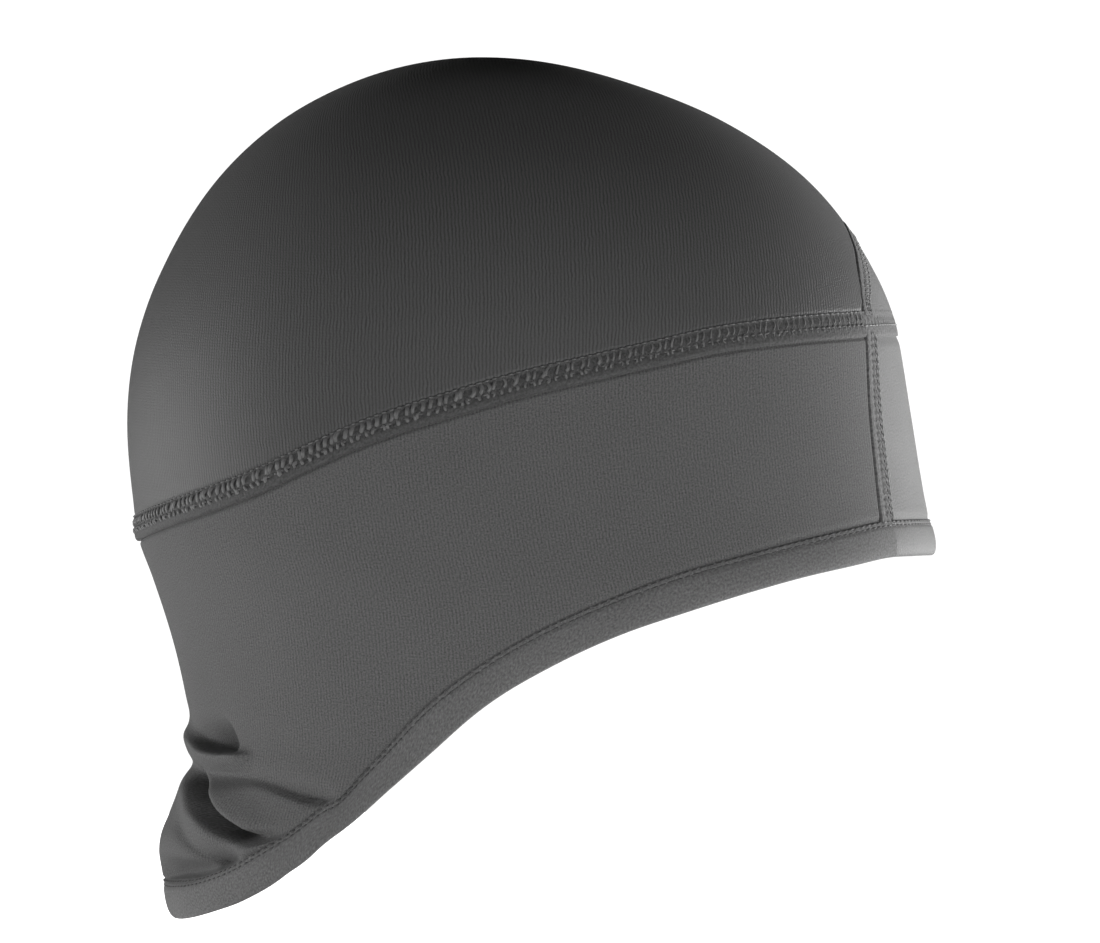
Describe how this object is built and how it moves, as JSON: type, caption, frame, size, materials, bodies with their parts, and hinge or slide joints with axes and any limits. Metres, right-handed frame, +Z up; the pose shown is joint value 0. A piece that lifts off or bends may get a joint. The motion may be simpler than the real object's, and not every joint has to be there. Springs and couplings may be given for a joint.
{
  "type": "skull cap",
  "caption": "Close-fitting stretch-knit skull cap: domed crown with arched front insert, band over the ears, long nape flap and folded hem.",
  "frame": {"origin": "inside of the crown's top, where the cap rests on the head", "axes": "+Z up, -Y towards the wearer's face, -X towards the wearer's right side"},
  "size_m": [0.1626, 0.205, 0.2178],
  "materials": {
    "crown_knit": "satin",
    "band_knit": "brushed matte",
    "seam_strip": "matte",
    "hem_knit": "brushed matte"
  },
  "bodies": {
    "root": {"crown_right": "crown_knit", "crown_left": "crown_knit", "crown_front": "crown_knit", "crown_front_seam": "seam_strip", "crown_band_seam": "seam_strip", "band_right": "band_knit", "band_left": "band_knit", "band_front": "band_knit", "band_front_seam_right": "seam_strip", "band_front_seam_left": "seam_strip", "hem": "hem_knit"}
  },
  "joints": []
}
